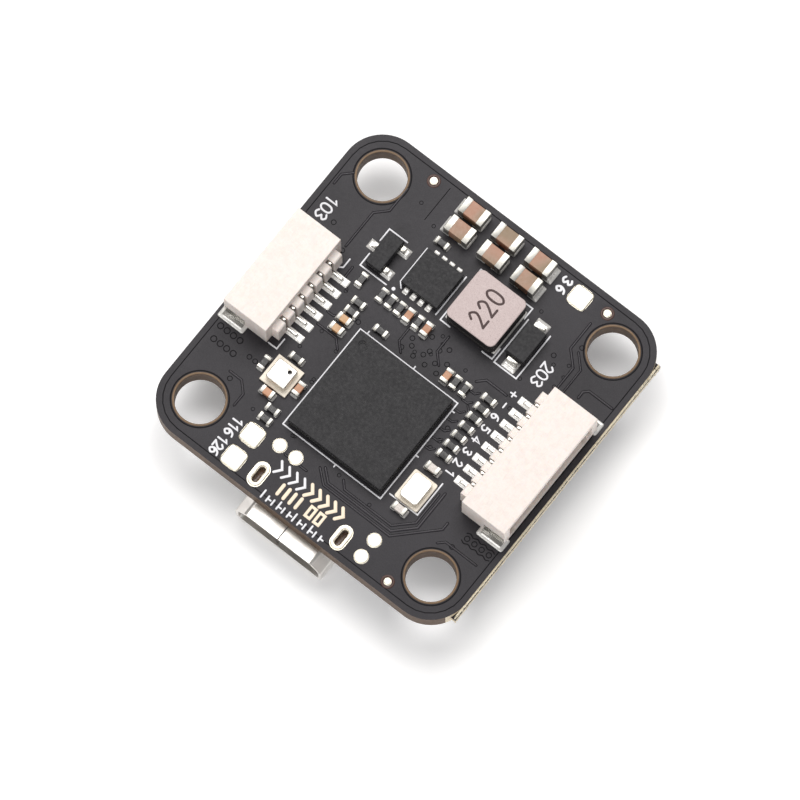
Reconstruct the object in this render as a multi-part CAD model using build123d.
from build123d import *
import os

# A stackable flight controller board for a small multirotor.
# Millimetres. X and Y lie in the board, +Z is up towards the component side.
# The origin is the centre of the four mounting holes, halfway through the board.

# --- Board ---
BOARD_SIZE = 26.0
BOARD_THICKNESS = 1.6
BOARD_CORNER_RADIUS = 3.0
SCORED_EDGE_PROUD = 0.12
SCORED_EDGE_THICKNESS = 0.5
SCORED_EDGE_LENGTH = 22.6
HOLE_SPACING = 20.0
HOLE_RADIUS = 1.75
FACE = BOARD_THICKNESS / 2

# --- Plated slots that hold the USB shell's two legs ---
SLOT_X = 3.57
SLOT_Y = -11.64
SLOT_WIDTH = 0.5
SLOT_LENGTH = 1.29
SLOT_PAD_WIDTH = 1.13
SLOT_PAD_LENGTH = 1.93
PLATING = 0.04

# --- Side-entry wire connectors, 1.0 mm pitch ---
PIN_PITCH = 1.0
HOUSING_END = 1.6
HOUSING_DEPTH = 4.25
HOUSING_HEIGHT = 2.95
RIDGE_DEPTH = 0.58
RIDGE_HEIGHT = 2.1
RIDGE_INSET = 0.6
WALL = 0.45
FLOOR_WALL = 0.42
REAR_WALL = 0.7
CONTACT_GAUGE = 0.22
CONTACT_TAIL = 0.78
NOTCH_WIDTH = 0.3
TAB_LENGTH = 1.7
TAB_FROM_FRONT = 0.06
TAB_GAUGE = 0.2
TAB_HEIGHT = 1.25
TAB_FOOT = 0.34
GPS_PINS = 6
GPS_REAR_X = -8.34
GPS_Y = 0.03
ESC_PINS = 8
ESC_REAR_X = 8.26
ESC_Y = -0.08
CAMERA_PINS = 6
CAMERA_X = 0.0
CAMERA_REAR_Y = 8.3

# --- Microcontroller, a moulded ball-grid package ---
MCU_X = -0.27
MCU_Y = -3.62
MCU_SIZE = 8.0
MCU_BALL_HEIGHT = 0.22
MCU_SUBSTRATE = 0.26
MCU_MOULD = 0.6
MCU_BALLS_A_SIDE = 10
MCU_BALL_PITCH = 0.76
MCU_BALL_RADIUS = 0.2

# --- Power inductor of the step-down converter ---
INDUCTOR_X = 1.64
INDUCTOR_Y = 6.7
INDUCTOR_SIZE = 4.1
INDUCTOR_CORNER = 0.45
INDUCTOR_HEIGHT = 1.8
INDUCTOR_FLANGE = 0.42
INDUCTOR_POST_RADIUS = 0.85
COIL_RADIUS = 1.45
TERMINAL_PLATE = 0.08

# --- Step-down converter, leadless package ---
BUCK_X = -2.72
BUCK_Y = 6.29
BUCK_SIZE = 3.0
BUCK_HEIGHT = 0.85
BUCK_PADS_A_SIDE = 4
BUCK_PAD_PITCH = 0.65

# --- Transistor and diode ---
TRANSISTOR_X = -6.42
TRANSISTOR_Y = 5.77
TRANSISTOR_BODY = (1.3, 2.8, 0.95)
TRANSISTOR_LEAD_STEP = 0.95
DIODE_X = 5.12
DIODE_Y = 6.65
DIODE_BODY = (1.6, 2.65, 1.05)

# --- Barometer and crystal ---
BAROMETER_X = -6.6
BAROMETER_Y = -5.31
BAROMETER_SIZE = 2.2
BAROMETER_BASE = 0.24
BAROMETER_CAN_SIZE = 1.62
BAROMETER_CAN_HEIGHT = 0.62
BAROMETER_CAN_WALL = 0.1
BAROMETER_PORT_RADIUS = 0.15
BAROMETER_PORT_Y = 0.39
BAROMETER_PORT_X = 0.4
CRYSTAL_X = 5.54
CRYSTAL_Y = -5.97
CRYSTAL_BASE = (1.95, 2.4, 0.3)
CRYSTAL_LID = (1.5, 2.0, 0.5)

# --- Chip parts: length, width, height, terminal length ---
CHIP_0805 = (2.0, 1.2, 1.25, 0.45)
CHIP_0402_RESISTOR = (1.05, 0.5, 0.35, 0.24)
CHIP_0402_CAPACITOR = (1.05, 0.55, 0.52, 0.26)
CHIP_EDGE = 0.02

# Six filter capacitors in two rows of three.
FILTER_FIRST_X = -3.3
FILTER_FIRST_Y = 11.68
FILTER_STEP_X = 2.87
FILTER_STEP_Y = -1.59
FILTER_COLUMNS = 3
FILTER_ROWS = 2

# Signal resistors beside the speed-controller connector, in one column.
COLUMN_X = 5.5
COLUMN_FIRST_Y = 2.08
COLUMN_STEP_Y = -0.825
COLUMN_COUNT = 7

# Chip places: x, y, turn about Z in degrees (0 lies along X, 90 along Y).
TOP_RESISTORS = [
    (-3.82, 8.77, 0),
    (-6.54, 3.36, 90), (-4.76, 3.36, 90), (-4.0, 3.36, 90), (-3.22, 3.36, 90), (-1.64, 3.36, 90),
    (-5.68, 1.94, 0), (-5.68, 1.15, 0), (-3.27, 1.31, 0),
    (2.96, 1.64, 90), (3.77, 1.64, 90),
    (-8.12, -5.31, 90), (-6.57, -3.73, 0), (-5.63, -7.56, 0), (-5.63, -8.36, 0),
]
TOP_CAPACITORS = [
    (-2.43, 3.33, 90), (-0.87, 3.33, 90), (2.24, 1.61, 90),
    (-5.1, -5.34, 90), (-6.63, -6.84, 0),
]
TOP_LIGHT_CAPACITORS = [(-5.72, 0.41, 0), (-5.72, -0.42, 0), (5.48, -4.07, 0), (5.45, -7.67, 0)]

# --- Solder pads on the component side ---
PAD_HEIGHT = 0.05
LED_PAD = (5.92, 11.6)
SIGNAL_PADS = [(-5.6, -9.77), (-5.6, -11.78)]
SQUARE_PAD = 1.56
SQUARE_PAD_CORNER = 0.45
ROUND_PADS = [(-3.69, -9.19), (-2.3, -9.19), (5.44, -10.4), (5.44, -11.83)]
ROUND_PAD_RADIUS = 0.52
FIDUCIALS = [(-7.03, 11.93), (8.07, 11.88), (7.92, -12.09)]
FIDUCIAL_RADIUS = 0.27

# --- Micro-USB socket, hung under the board ---
USB_MOUTH_Y = -14.1
USB_DEPTH = 5.3
USB_NARROW_HALF = 2.85
USB_WIDE_HALF = 3.72
USB_SHOULDER = 0.95
USB_HEIGHT = 2.65
USB_GAUGE = 0.25
USB_SEAM = 0.07
USB_REAR_BLOCK = 1.7
USB_TONGUE = (3.8, 3.0, 0.62)
USB_CONTACTS = 5
USB_CONTACT_PITCH = 0.65
USB_CONTACT_WIDTH = 0.3
USB_CONTACT_GAUGE = 0.12
USB_TAIL = 0.75
USB_LEG_LENGTH = 0.95
USB_LEG_TOP = 0.25

# --- Boot button: a small tactile switch under the board ---
BUTTON_X = 5.7
BUTTON_Y = -7.2
BUTTON_BASE = (3.0, 2.6, 0.95)
BUTTON_FLOOR = 0.35
BUTTON_WELL_RADIUS = 1.0
BUTTON_COVER_GAUGE = 0.12
BUTTON_COVER_SKIRT = 0.55
BUTTON_STEM_RADIUS = 0.62
BUTTON_STEM_CLEARANCE = 0.06
BUTTON_STEM_OUT = 0.6
BUTTON_FLANGE_RADIUS = 0.85
BUTTON_FLANGE = 0.2
DOME_RADIUS = 0.92
DOME_GAUGE = 0.05

# --- Chips under the board ---
SENSOR_X = -0.6
SENSOR_Y = 0.4
SENSOR_BODY = (3.0, 2.5, 0.83)
OVERLAY_X = 6.4
OVERLAY_Y = 0.1
OVERLAY_BODY = (4.4, 9.7, 1.0)
OVERLAY_LEADS_A_SIDE = 14
OVERLAY_LEAD_PITCH = 0.65
MEMORY_X = -6.6
MEMORY_Y = 2.2
MEMORY_BODY = (5.0, 6.0, 0.75)
MEMORY_PADS_A_SIDE = 4
MEMORY_PAD_PITCH = 1.27
REGULATOR_X = -7.4
REGULATOR_Y = -4.3
REGULATOR_BODY = (1.6, 2.9, 1.05)
REGULATOR_STEP = 0.95
OVERLAY_CRYSTAL_X = 1.1
OVERLAY_CRYSTAL_Y = 4.6
OVERLAY_CRYSTAL_BASE = (3.2, 2.5, 0.4)
OVERLAY_CRYSTAL_LID = (2.8, 2.1, 0.2)
STATUS_LIGHTS = [(-5.9, -9.6), (-5.9, -11.4)]
STATUS_LIGHT = (1.6, 0.8, 0.25)
STATUS_LENS = (1.1, 0.8, 0.3)
UNDER_RESISTORS_X = (-3.0, -2.1, -1.2, -0.3, 0.6, 1.5)
UNDER_RESISTORS_Y = -3.0
UNDER_CAPACITORS_X = (-3.0, -2.0, -1.0, 0.0, 1.0)
UNDER_CAPACITORS_Y = -5.0
UNDER_PADS_X = -11.6
UNDER_PADS_FIRST_Y = -5.4
UNDER_PADS_STEP = 1.8
UNDER_PADS_COUNT = 7
UNDER_PAD = (1.6, 1.2)


def block(size_x, size_y, low, high, x=0.0, y=0.0):
    """Return a box between two heights, centred on x and y."""
    return Pos(x, y, (low + high) / 2) * Box(size_x, size_y, high - low)


def rounded_block(size_x, size_y, low, high, corner):
    """Return an upright block with rounded upright edges."""
    outline = RectangleRounded(size_x, size_y, corner)
    return Pos(0, 0, low) * extrude(outline, high - low)


def eased(solid, radius, top_only=False):
    """Round a block's top edges, or all of its edges."""
    edges = solid.edges().group_by(Axis.Z)[-1] if top_only else solid.edges()
    return fillet(edges, radius)


def on_top(solid, x, y, turn=0.0):
    """Stand a solid on the component face; its own z = 0 is the board's surface."""
    return Pos(x, y, FACE) * Rot(0, 0, turn) * solid


def under(solid, x, y, turn=0.0):
    """Hang a solid from the lower face; its own z = 0 is the board's surface."""
    return Pos(x, y, -FACE) * Rot(0, 0, turn) * Rot(180, 0, 0) * solid


def group(solids):
    """Keep separate solids together in one node."""
    flat = []
    for solid in solids:
        flat.extend(solid.solids())
    return Compound(children=flat)


def row(count, pitch):
    """Return evenly spaced places centred on zero."""
    return [(index - (count - 1) / 2) * pitch for index in range(count)]


# --- Board and its metal ---

def hole_places():
    half = HOLE_SPACING / 2
    return [(-half, -half), (half, -half), (half, half), (-half, half)]


def slot_outline(width, length):
    return Rot(0, 0, 90) * SlotOverall(length, width)


def circuit_board():
    """The laminate, with the torn web of its panel's scored edge along +X."""
    board = rounded_block(BOARD_SIZE, BOARD_SIZE, -FACE, FACE, BOARD_CORNER_RADIUS)
    for x, y in hole_places():
        board -= Pos(x, y, 0) * Cylinder(HOLE_RADIUS, 2 * BOARD_THICKNESS)
    web_width = 1 + SCORED_EDGE_PROUD
    web_x = BOARD_SIZE / 2 + SCORED_EDGE_PROUD - web_width / 2
    board += Pos(web_x, 0, 0) * Box(web_width, SCORED_EDGE_LENGTH, SCORED_EDGE_THICKNESS)
    cut = extrude(slot_outline(SLOT_WIDTH + 2 * PLATING, SLOT_LENGTH + 2 * PLATING), BOARD_THICKNESS)
    for side in (-1, 1):
        board -= Pos(side * SLOT_X, SLOT_Y, -FACE) * cut
    return board


def slot_plating():
    """Plated rims and barrels of the two slots for the USB shell's legs."""
    barrel = extrude(slot_outline(SLOT_WIDTH + 2 * PLATING, SLOT_LENGTH + 2 * PLATING), BOARD_THICKNESS)
    rim = extrude(slot_outline(SLOT_PAD_WIDTH, SLOT_PAD_LENGTH), PLATING)
    bore = extrude(slot_outline(SLOT_WIDTH, SLOT_LENGTH), BOARD_THICKNESS + 2 * PLATING)
    plating = Pos(0, 0, -FACE) * barrel + Pos(0, 0, FACE) * rim
    plating -= Pos(0, 0, -FACE - PLATING) * bore
    return group([Pos(side * SLOT_X, SLOT_Y, 0) * plating for side in (-1, 1)])


def square_pads():
    pad = rounded_block(SQUARE_PAD, SQUARE_PAD, 0, PAD_HEIGHT, SQUARE_PAD_CORNER)
    return group([on_top(pad, x, y) for x, y in [LED_PAD] + SIGNAL_PADS])


def round_pads():
    """Round test pads, and the small dots that a placing machine finds the board by."""
    pad = Pos(0, 0, PAD_HEIGHT / 2) * Cylinder(ROUND_PAD_RADIUS, PAD_HEIGHT)
    dot = Pos(0, 0, PAD_HEIGHT / 2) * Cylinder(FIDUCIAL_RADIUS, PAD_HEIGHT)
    pads = [on_top(pad, x, y) for x, y in ROUND_PADS]
    return group(pads + [on_top(dot, x, y) for x, y in FIDUCIALS])


def underside_pads():
    pad = rounded_block(UNDER_PAD[0], UNDER_PAD[1], 0, PAD_HEIGHT, SQUARE_PAD_CORNER)
    places = [UNDER_PADS_FIRST_Y + index * UNDER_PADS_STEP for index in range(UNDER_PADS_COUNT)]
    return group([under(pad, UNDER_PADS_X, y) for y in places])


# --- Wire connectors: rear at y = 0, mating face at y = HOUSING_DEPTH ---

def connector_half(pins):
    return (pins - 1) / 2 * PIN_PITCH + HOUSING_END


def connector_housing(pins):
    half = connector_half(pins)
    depth = HOUSING_DEPTH - RIDGE_DEPTH
    shell = block(2 * half, depth, 0, HOUSING_HEIGHT, 0, RIDGE_DEPTH + depth / 2)
    shell = eased(shell, 0.07, top_only=True)
    ridge = block(2 * (half - RIDGE_INSET), RIDGE_DEPTH + 0.1, 0, RIDGE_HEIGHT, 0, RIDGE_DEPTH / 2 + 0.05)
    housing = shell + chamfer(ridge.edges().group_by(Axis.Z)[-1].sort_by(Axis.Y)[0], 0.1)
    cavity_low = FLOOR_WALL
    cavity_high = HOUSING_HEIGHT - WALL
    cavity_rear = RIDGE_DEPTH + REAR_WALL
    cavity_depth = HOUSING_DEPTH - cavity_rear + 0.1
    cavity_y = cavity_rear + cavity_depth / 2
    housing -= block(2 * (half - 0.6), cavity_depth, cavity_low, cavity_high, 0, cavity_y)
    key_width = 0.5
    for side in (-1, 1):
        key_x = side * (half - 1.15)
        housing -= block(key_width, cavity_depth, cavity_low - 0.22, cavity_low + 0.1, key_x, cavity_y)
    for x in row(pins, PIN_PITCH):
        housing -= block(NOTCH_WIDTH, RIDGE_DEPTH, 0, RIDGE_HEIGHT, x, RIDGE_DEPTH / 2)
        housing -= block(CONTACT_GAUGE, REAR_WALL + 0.2, 1.05, 1.65, x, RIDGE_DEPTH + REAR_WALL / 2)
    tab_y = HOUSING_DEPTH - TAB_FROM_FRONT - TAB_LENGTH / 2
    for side in (-1, 1):
        recess_x = side * (half - TAB_GAUGE / 2)
        housing -= block(TAB_GAUGE, TAB_LENGTH, 0, TAB_HEIGHT, recess_x, tab_y)
    return housing


def connector_contacts(pins):
    """One bent strip per wire: soldered tail, upright post, and a pin in the socket."""
    tail_length = CONTACT_TAIL + 0.2
    tail = block(CONTACT_GAUGE, tail_length, 0, 0.2, 0, tail_length / 2 - CONTACT_TAIL)
    post = block(CONTACT_GAUGE, 0.32, 0, RIDGE_HEIGHT - 0.1, 0, 0.34)
    pin_end = HOUSING_DEPTH - 0.7
    pin = block(CONTACT_GAUGE, pin_end - 0.2, 1.15, 1.55, 0, 0.2 + (pin_end - 0.2) / 2)
    contact = tail + post + pin
    contact = fillet(contact.edges().filter_by(Axis.X).sort_by(Axis.Y)[0], 0.08)
    return [Pos(x, 0, 0) * contact for x in row(pins, PIN_PITCH)]


def connector_tabs(pins):
    """Two bent tabs that hold the housing's ends down to the board."""
    half = connector_half(pins)
    tab_y = HOUSING_DEPTH - TAB_FROM_FRONT - TAB_LENGTH / 2
    tabs = []
    for side in (-1, 1):
        upright = block(TAB_GAUGE, TAB_LENGTH, 0, TAB_HEIGHT, side * (half - TAB_GAUGE / 2), tab_y)
        foot = block(TAB_FOOT, TAB_LENGTH, 0, TAB_GAUGE, side * (half + TAB_FOOT / 2), tab_y)
        tabs.append(upright + foot)
    return tabs


def place_gps(solid):
    return on_top(solid, GPS_REAR_X, GPS_Y, 90)


def place_esc(solid):
    return on_top(solid, ESC_REAR_X, ESC_Y, -90)


def place_camera(solid):
    return under(solid, CAMERA_X, CAMERA_REAR_Y, 180)


# --- Packages ---

def bent_lead(reach, foot, entry, gauge, width):
    """A gull-wing lead along +X from a body wall at x = 0, in a strip of one gauge."""
    knee = reach - foot
    shoulder = block(knee + gauge, width, entry - gauge, entry, (knee + gauge) / 2, 0)
    drop = block(gauge, width, 0, entry, knee + gauge / 2, 0)
    toe = block(foot, width, 0, gauge, knee + foot / 2, 0)
    return shoulder + drop + toe


def tapered_body(size, lift):
    """A moulded body with slightly sloping walls, standing clear of the board."""
    length, width, height = size
    middle = (height + lift) / 2
    body = Pos(0, 0, middle) * extrude(Rectangle(length, width), height - middle, taper=7)
    body += Pos(0, 0, middle) * extrude(Rectangle(length, width), lift - middle, taper=7)
    return eased(body, 0.05, top_only=True)


def microcontroller_balls():
    ball = Pos(0, 0, MCU_BALL_HEIGHT / 2) * Cylinder(MCU_BALL_RADIUS, MCU_BALL_HEIGHT)
    balls = []
    for x in row(MCU_BALLS_A_SIDE, MCU_BALL_PITCH):
        for y in row(MCU_BALLS_A_SIDE, MCU_BALL_PITCH):
            balls.append(on_top(ball, MCU_X + x, MCU_Y + y))
    return group(balls)


def microcontroller_substrate():
    plate = block(MCU_SIZE, MCU_SIZE, MCU_BALL_HEIGHT, MCU_BALL_HEIGHT + MCU_SUBSTRATE)
    return on_top(plate, MCU_X, MCU_Y)


def microcontroller_mould():
    low = MCU_BALL_HEIGHT + MCU_SUBSTRATE
    mould = eased(block(MCU_SIZE, MCU_SIZE, low, low + MCU_MOULD), 0.04, top_only=True)
    dimple_place = MCU_SIZE / 2 - 0.75
    dimple = Pos(-dimple_place, dimple_place, low + MCU_MOULD) * Cylinder(0.28, 0.06)
    return on_top(mould - dimple, MCU_X, MCU_Y)


def inductor_core():
    """Ferrite drum: a square flange above and below a round post."""
    base = rounded_block(INDUCTOR_SIZE, INDUCTOR_SIZE, TERMINAL_PLATE, INDUCTOR_FLANGE, INDUCTOR_CORNER)
    post_height = INDUCTOR_HEIGHT - INDUCTOR_FLANGE
    post = Pos(0, 0, INDUCTOR_FLANGE + post_height / 2 - 0.1) * Cylinder(INDUCTOR_POST_RADIUS, post_height)
    top_low = INDUCTOR_HEIGHT - INDUCTOR_FLANGE
    top = rounded_block(INDUCTOR_SIZE, INDUCTOR_SIZE, top_low, INDUCTOR_HEIGHT, INDUCTOR_CORNER)
    top = eased(top, 0.09, top_only=True)
    return on_top(base + post + top, INDUCTOR_X, INDUCTOR_Y)


def inductor_winding():
    low = INDUCTOR_FLANGE
    high = INDUCTOR_HEIGHT - INDUCTOR_FLANGE
    coil = Pos(0, 0, (low + high) / 2) * Cylinder(COIL_RADIUS, high - low)
    coil -= Pos(0, 0, (low + high) / 2) * Cylinder(INDUCTOR_POST_RADIUS, high - low)
    return on_top(coil, INDUCTOR_X, INDUCTOR_Y)


def inductor_coating():
    """Magnetic resin that fills the drum's waist around the winding."""
    low = INDUCTOR_FLANGE
    high = INDUCTOR_HEIGHT - INDUCTOR_FLANGE
    size = INDUCTOR_SIZE - 0.12
    ring = rounded_block(size, size, low, high, INDUCTOR_CORNER)
    ring -= Pos(0, 0, (low + high) / 2) * Cylinder(COIL_RADIUS, high - low)
    return on_top(ring, INDUCTOR_X, INDUCTOR_Y)


def inductor_terminals():
    plate = block(1.1, INDUCTOR_SIZE - 0.6, 0, TERMINAL_PLATE)
    offset = INDUCTOR_SIZE / 2 - 0.55
    return group([on_top(plate, INDUCTOR_X + side * offset, INDUCTOR_Y) for side in (-1, 1)])


def leadless_pads(pads_a_side, pitch, width, half_span, reach):
    """Flat pads under and just beyond two opposite edges of a leadless body."""
    pads = []
    for x in row(pads_a_side, pitch):
        for side in (-1, 1):
            pads.append(block(width, reach, 0, 0.05, x, side * (half_span + 0.12 - reach / 2)))
    return pads


def buck_converter_body():
    body = eased(block(BUCK_SIZE + 0.1, BUCK_SIZE, 0.05, BUCK_HEIGHT), 0.04, top_only=True)
    return on_top(body, BUCK_X, BUCK_Y)


def buck_converter_pads():
    pads = leadless_pads(BUCK_PADS_A_SIDE, BUCK_PAD_PITCH, 0.32, BUCK_SIZE / 2, 0.5)
    return group([on_top(pad, BUCK_X, BUCK_Y) for pad in pads])


def transistor_body():
    return on_top(tapered_body(TRANSISTOR_BODY, 0.08), TRANSISTOR_X, TRANSISTOR_Y)


def transistor_leads():
    wall = TRANSISTOR_BODY[0] / 2
    lead = Pos(wall, 0, 0) * bent_lead(0.62, 0.35, 0.57, 0.12, 0.42)
    leads = [Rot(0, 0, 180) * lead]
    for side in (-1, 1):
        leads.append(Pos(0, side * TRANSISTOR_LEAD_STEP, 0) * lead)
    return group([on_top(solid, TRANSISTOR_X, TRANSISTOR_Y) for solid in leads])


def diode_body():
    return on_top(tapered_body(DIODE_BODY, 0.08), DIODE_X, DIODE_Y)


def diode_leads():
    wall = DIODE_BODY[1] / 2
    lead = Pos(wall, 0, 0) * bent_lead(0.6, 0.38, 0.62, 0.13, 0.85)
    return group([on_top(Rot(0, 0, turn) * lead, DIODE_X, DIODE_Y) for turn in (90, -90)])


def barometer_base():
    plate = block(BAROMETER_SIZE, BAROMETER_SIZE, 0, BAROMETER_BASE)
    return on_top(plate, BAROMETER_X, BAROMETER_Y)


def barometer_can():
    """A drawn metal lid with a small port that lets air in."""
    low = BAROMETER_BASE
    high = low + BAROMETER_CAN_HEIGHT
    can = rounded_block(BAROMETER_CAN_SIZE, BAROMETER_CAN_SIZE, low, high, 0.16)
    can = eased(can, 0.1, top_only=True)
    inner = BAROMETER_CAN_SIZE - 2 * BAROMETER_CAN_WALL
    can -= rounded_block(inner, inner, low, high - BAROMETER_CAN_WALL, 0.08)
    can -= Pos(BAROMETER_PORT_X, BAROMETER_PORT_Y, high) * Cylinder(BAROMETER_PORT_RADIUS, 0.5)
    return on_top(can, BAROMETER_X, BAROMETER_Y)


def barometer_die():
    die = block(1.0, 1.0, BAROMETER_BASE, BAROMETER_BASE + 0.25)
    return on_top(die, BAROMETER_X, BAROMETER_Y)


def crystal_case(size):
    return rounded_block(size[0], size[1], 0, size[2], 0.14)


def crystal_cover(size, low):
    lid = rounded_block(size[0], size[1], low, low + size[2], 0.3)
    return eased(lid, 0.07, top_only=True)


# --- Chip parts lying along X ---

def chip_core(size):
    length, width, height, _ = size
    margin = 2 * CHIP_EDGE
    core = block(length - margin, width - margin, CHIP_EDGE, height - CHIP_EDGE)
    return eased(core, 0.035)


def chip_terminals(size):
    length, width, height, cap = size
    core = chip_core(size)
    caps = []
    for side in (-1, 1):
        shell = block(cap, width, 0, height, side * (length - cap) / 2, 0)
        outer_edges = shell.edges().filter_by(Axis.Y).sort_by(Axis.X)
        chosen = outer_edges[:2] if side < 0 else outer_edges[-2:]
        caps.append(fillet(chosen, 0.05) - core)
    return caps


def filter_places():
    places = []
    for line in range(FILTER_ROWS):
        for column in range(FILTER_COLUMNS):
            x = FILTER_FIRST_X + column * FILTER_STEP_X
            places.append((x, FILTER_FIRST_Y + line * FILTER_STEP_Y, 0))
    return places


def resistor_places():
    column = [(COLUMN_X, COLUMN_FIRST_Y + index * COLUMN_STEP_Y, 0) for index in range(COLUMN_COUNT)]
    return TOP_RESISTORS + column


def cores_at(size, places, seat):
    core = chip_core(size)
    return group([seat(core, x, y, turn) for x, y, turn in places])


def terminals_at(size, places, seat):
    caps = chip_terminals(size)
    return group([seat(cap, x, y, turn) for x, y, turn in places for cap in caps])


# --- Micro-USB socket: profile across X, mouth at USB_MOUTH_Y ---

def usb_profile(inset):
    """The shell's outline from the board downwards: narrow side up, wide side down."""
    narrow = USB_NARROW_HALF - 0.5 * inset
    wide = USB_WIDE_HALF - inset
    top = -FACE - inset
    shoulder = -FACE - USB_SHOULDER
    bottom = -FACE - USB_HEIGHT + inset
    corners = [
        (-narrow, top), (narrow, top), (wide, shoulder),
        (wide, bottom), (-wide, bottom), (-wide, shoulder),
    ]
    outline = make_face(Polyline(*corners, close=True))
    return fillet(outline.vertices(), 0.42 - 0.5 * inset)


def usb_prism(inset, y_from, y_to):
    return extrude(Plane.XZ.offset(-y_from) * usb_profile(inset), y_from - y_to)


def usb_shell():
    rear = USB_MOUTH_Y + USB_DEPTH
    shell = usb_prism(0, USB_MOUTH_Y, rear)
    shell -= usb_prism(USB_GAUGE, USB_MOUTH_Y, rear)
    shell -= block(USB_SEAM, USB_DEPTH, -FACE - USB_GAUGE, -FACE, 0, USB_MOUTH_Y + USB_DEPTH / 2)
    leg_x = SLOT_X
    leg_low = -FACE - USB_HEIGHT / 2
    for side in (-1, 1):
        leg = block(USB_GAUGE, USB_LEG_LENGTH, leg_low, USB_LEG_TOP, side * leg_x, SLOT_Y)
        shell += leg
    return shell


def usb_insulator():
    """Resin block at the socket's rear with the tongue that carries the contacts."""
    rear = USB_MOUTH_Y + USB_DEPTH
    front_of_block = rear - USB_REAR_BLOCK
    resin = usb_prism(USB_GAUGE, front_of_block, rear)
    width, reach, thickness = USB_TONGUE
    middle = -FACE - USB_HEIGHT / 2
    tongue_y = front_of_block - reach / 2 + 0.05
    tongue = block(width, reach + 0.1, middle - thickness / 2, middle + thickness / 2, 0, tongue_y)
    resin += tongue
    for x in row(USB_CONTACTS, USB_CONTACT_PITCH):
        resin -= usb_contact(x)
    return resin


def usb_contact(x):
    rear = USB_MOUTH_Y + USB_DEPTH
    front = rear - USB_REAR_BLOCK - USB_TONGUE[1] + 0.3
    middle = -FACE - USB_HEIGHT / 2 - USB_TONGUE[2] / 2
    strip_length = rear + 0.15 - front
    strip_y = front + strip_length / 2
    strip = block(USB_CONTACT_WIDTH, strip_length, middle, middle + USB_CONTACT_GAUGE, x, strip_y)
    riser = block(USB_CONTACT_WIDTH, USB_CONTACT_GAUGE, middle, -FACE, x, rear + 0.15 - USB_CONTACT_GAUGE / 2)
    tail_y = rear + USB_TAIL / 2 + 0.1
    tail = block(USB_CONTACT_WIDTH, USB_TAIL, -FACE - USB_CONTACT_GAUGE, -FACE, x, tail_y)
    return strip + riser + tail


def usb_contacts():
    return group([usb_contact(x) for x in row(USB_CONTACTS, USB_CONTACT_PITCH)])


# --- Boot button: z = 0 on the board, pointing away from it ---

def button_rim():
    return BUTTON_BASE[2]


def button_base():
    length, width, height = BUTTON_BASE
    base = block(length, width, 0, height)
    well = height - BUTTON_FLOOR
    return base - Pos(0, 0, BUTTON_FLOOR + well / 2) * Cylinder(BUTTON_WELL_RADIUS, well)


def button_cover():
    length, width, height = BUTTON_BASE
    gauge = BUTTON_COVER_GAUGE
    outer = block(length + 2 * gauge, width, height - BUTTON_COVER_SKIRT, height + gauge)
    outer = fillet(outer.edges().filter_by(Axis.Y).group_by(Axis.Z)[-1], 0.09)
    outer -= block(length, width, 0, height)
    hole = BUTTON_STEM_RADIUS + BUTTON_STEM_CLEARANCE
    return outer - Pos(0, 0, height) * Cylinder(hole, 4 * gauge)


def button_plunger():
    rim = button_rim()
    flange = Pos(0, 0, rim - BUTTON_FLANGE / 2) * Cylinder(BUTTON_FLANGE_RADIUS, BUTTON_FLANGE)
    stem_height = BUTTON_COVER_GAUGE + BUTTON_STEM_OUT
    stem = Pos(0, 0, rim + stem_height / 2) * Cylinder(BUTTON_STEM_RADIUS, stem_height)
    stem = fillet(stem.edges().group_by(Axis.Z)[-1], 0.1)
    return flange + stem


def button_dome():
    """A snap dome between the well's floor and the plunger, pressed flat when the button is pushed."""
    crown = button_rim() - BUTTON_FLANGE - BUTTON_FLOOR
    ball_radius = (DOME_RADIUS ** 2 + crown ** 2) / (2 * crown)
    centre = Pos(0, 0, BUTTON_FLOOR + crown - ball_radius)
    dome = centre * Sphere(ball_radius) - centre * Sphere(ball_radius - DOME_GAUGE)
    return dome & block(2 * DOME_RADIUS, 2 * DOME_RADIUS, BUTTON_FLOOR, BUTTON_FLOOR + crown)


def button_terminals():
    wall = BUTTON_BASE[0] / 2
    foot = block(0.55, 0.5, 0, 0.15, wall + 0.275, 0)
    solids = []
    for turn in (0, 180):
        for side in (-1, 1):
            solids.append(Rot(0, 0, turn) * Pos(0, side * 0.75, 0) * foot)
    return solids


# --- Chips under the board ---

def sensor_pads():
    pads = []
    for x in row(4, 0.6):
        for side in (-1, 1):
            pads.append(block(0.3, 0.4, 0, 0.04, x, side * 1.05))
    return group([under(pad, SENSOR_X, SENSOR_Y) for pad in pads])


def sensor_body():
    body = block(SENSOR_BODY[0], SENSOR_BODY[1], 0.04, SENSOR_BODY[2])
    return under(eased(body, 0.05, True), SENSOR_X, SENSOR_Y)


def overlay_chip_body():
    return under(tapered_body(OVERLAY_BODY, 0.1), OVERLAY_X, OVERLAY_Y)


def overlay_chip_leads():
    lead = Pos(OVERLAY_BODY[0] / 2, 0, 0) * bent_lead(1.0, 0.55, 0.61, 0.12, 0.24)
    leads = []
    for y in row(OVERLAY_LEADS_A_SIDE, OVERLAY_LEAD_PITCH):
        for turn in (0, 180):
            leads.append(under(Pos(0, y, 0) * Rot(0, 0, turn) * lead, OVERLAY_X, OVERLAY_Y))
    return group(leads)


def memory_body():
    body = eased(block(MEMORY_BODY[0], MEMORY_BODY[1], 0.05, MEMORY_BODY[2]), 0.04, True)
    return under(body, MEMORY_X, MEMORY_Y)


def memory_pads():
    pads = leadless_pads(MEMORY_PADS_A_SIDE, MEMORY_PAD_PITCH, 0.42, MEMORY_BODY[1] / 2, 0.6)
    return group([under(pad, MEMORY_X, MEMORY_Y) for pad in pads])


def regulator_body():
    return under(tapered_body(REGULATOR_BODY, 0.08), REGULATOR_X, REGULATOR_Y)


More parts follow.
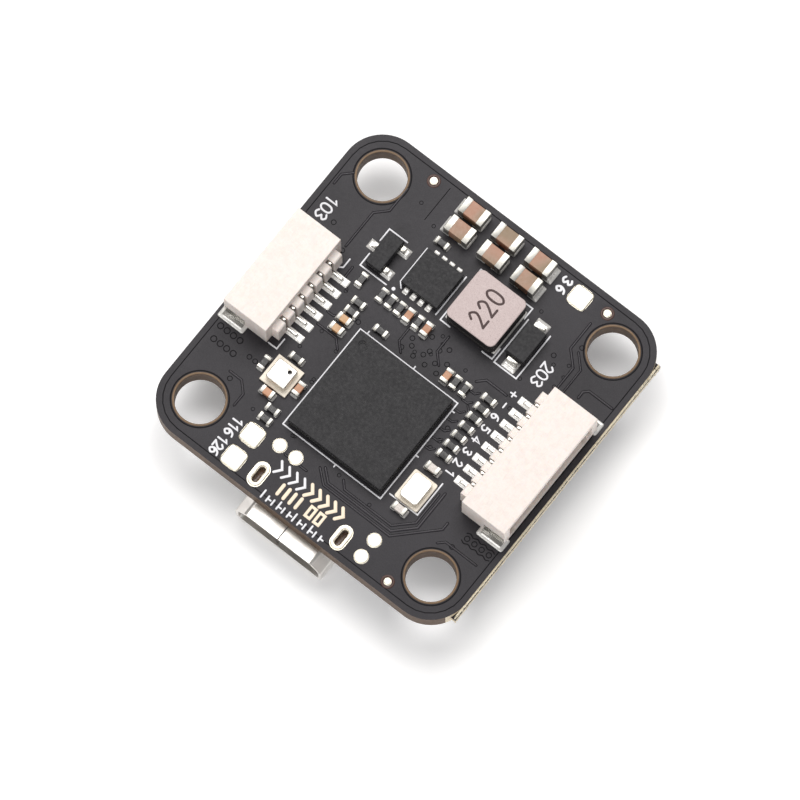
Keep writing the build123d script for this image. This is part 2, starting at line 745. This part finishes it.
def regulator_leads():
    lead = Pos(REGULATOR_BODY[0] / 2, 0, 0) * bent_lead(0.6, 0.36, 0.62, 0.12, 0.4)
    places = [(turn, step) for turn in (0, 180) for step in (-REGULATOR_STEP, REGULATOR_STEP)]
    places.append((0, 0))
    leads = [Rot(0, 0, turn) * Pos(0, step, 0) * lead for turn, step in places]
    return group([under(placed, REGULATOR_X, REGULATOR_Y) for placed in leads])


def status_light_bases():
    base = block(STATUS_LIGHT[0], STATUS_LIGHT[1], 0, STATUS_LIGHT[2])
    return group([under(base, x, y, 90) for x, y in STATUS_LIGHTS])


def status_light_lenses():
    low = STATUS_LIGHT[2]
    lens = eased(block(STATUS_LENS[0], STATUS_LENS[1], low, low + STATUS_LENS[2]), 0.08, True)
    return group([under(lens, x, y, 90) for x, y in STATUS_LIGHTS])


def hang(solids, x, y):
    return group([under(solid, x, y) for solid in solids])


def build_nodes():
    under_resistors = [(x, UNDER_RESISTORS_Y, 90) for x in UNDER_RESISTORS_X]
    under_capacitors = [(x, UNDER_CAPACITORS_Y, 90) for x in UNDER_CAPACITORS_X]
    nodes = {
        "circuit_board": circuit_board(),
        "usb_slot_plating": slot_plating(),
        "square_solder_pads": square_pads(),
        "round_test_pads": round_pads(),
        "microcontroller_balls": microcontroller_balls(),
        "microcontroller_substrate": microcontroller_substrate(),
        "microcontroller_mould": microcontroller_mould(),
        "inductor_core": inductor_core(),
        "inductor_winding": inductor_winding(),
        "inductor_coating": inductor_coating(),
        "inductor_terminals": inductor_terminals(),
        "buck_converter_body": buck_converter_body(),
        "buck_converter_pads": buck_converter_pads(),
        "transistor_body": transistor_body(),
        "transistor_leads": transistor_leads(),
        "diode_body": diode_body(),
        "diode_leads": diode_leads(),
        "barometer_base": barometer_base(),
        "barometer_die": barometer_die(),
        "barometer_can": barometer_can(),
        "crystal_base": on_top(crystal_case(CRYSTAL_BASE), CRYSTAL_X, CRYSTAL_Y),
        "crystal_lid": on_top(crystal_cover(CRYSTAL_LID, CRYSTAL_BASE[2]), CRYSTAL_X, CRYSTAL_Y),
        "filter_capacitor_bodies": cores_at(CHIP_0805, filter_places(), on_top),
        "filter_capacitor_terminals": terminals_at(CHIP_0805, filter_places(), on_top),
        "resistor_bodies": cores_at(CHIP_0402_RESISTOR, resistor_places(), on_top),
        "resistor_terminals": terminals_at(CHIP_0402_RESISTOR, resistor_places(), on_top),
        "capacitor_bodies": cores_at(CHIP_0402_CAPACITOR, TOP_CAPACITORS, on_top),
        "light_capacitor_bodies": cores_at(CHIP_0402_CAPACITOR, TOP_LIGHT_CAPACITORS, on_top),
        "capacitor_terminals": terminals_at(CHIP_0402_CAPACITOR, TOP_CAPACITORS + TOP_LIGHT_CAPACITORS, on_top),
        "usb_shell": usb_shell(),
        "usb_insulator": usb_insulator(),
        "usb_contacts": usb_contacts(),
        "boot_button_base": under(button_base(), BUTTON_X, BUTTON_Y),
        "boot_button_cover": under(button_cover(), BUTTON_X, BUTTON_Y),
        "boot_button_plunger": under(button_plunger(), BUTTON_X, BUTTON_Y),
        "boot_button_dome": under(button_dome(), BUTTON_X, BUTTON_Y),
        "boot_button_terminals": hang(button_terminals(), BUTTON_X, BUTTON_Y),
        "motion_sensor_body": sensor_body(),
        "motion_sensor_pads": sensor_pads(),
        "overlay_chip_body": overlay_chip_body(),
        "overlay_chip_leads": overlay_chip_leads(),
        "overlay_crystal_base": under(crystal_case(OVERLAY_CRYSTAL_BASE), OVERLAY_CRYSTAL_X, OVERLAY_CRYSTAL_Y),
        "overlay_crystal_lid": under(
            crystal_cover(OVERLAY_CRYSTAL_LID, OVERLAY_CRYSTAL_BASE[2]), OVERLAY_CRYSTAL_X, OVERLAY_CRYSTAL_Y),
        "memory_body": memory_body(),
        "memory_pads": memory_pads(),
        "regulator_body": regulator_body(),
        "regulator_leads": regulator_leads(),
        "status_light_bases": status_light_bases(),
        "status_light_lenses": status_light_lenses(),
        "underside_chip_bodies": cores_at(CHIP_0402_RESISTOR, under_resistors, under),
        "underside_chip_terminals": terminals_at(CHIP_0402_RESISTOR, under_resistors, under),
        "underside_capacitor_bodies": cores_at(CHIP_0402_CAPACITOR, under_capacitors, under),
        "underside_capacitor_terminals": terminals_at(CHIP_0402_CAPACITOR, under_capacitors, under),
        "underside_solder_pads": underside_pads(),
    }
    connectors = [
        ("gps", GPS_PINS, place_gps), ("esc", ESC_PINS, place_esc),
        ("camera", CAMERA_PINS, place_camera),
    ]
    for name, pins, place in connectors:
        nodes[name + "_connector_housing"] = place(connector_housing(pins))
        metal = connector_contacts(pins) + connector_tabs(pins)
        nodes[name + "_connector_metal"] = group([place(solid) for solid in metal])
    return nodes


os.makedirs("parts", exist_ok=True)
for node_name, shape in build_nodes().items():
    export_step(shape, f"parts/{node_name}.step")
    print(node_name, len(shape.solids()), round(shape.volume, 3))
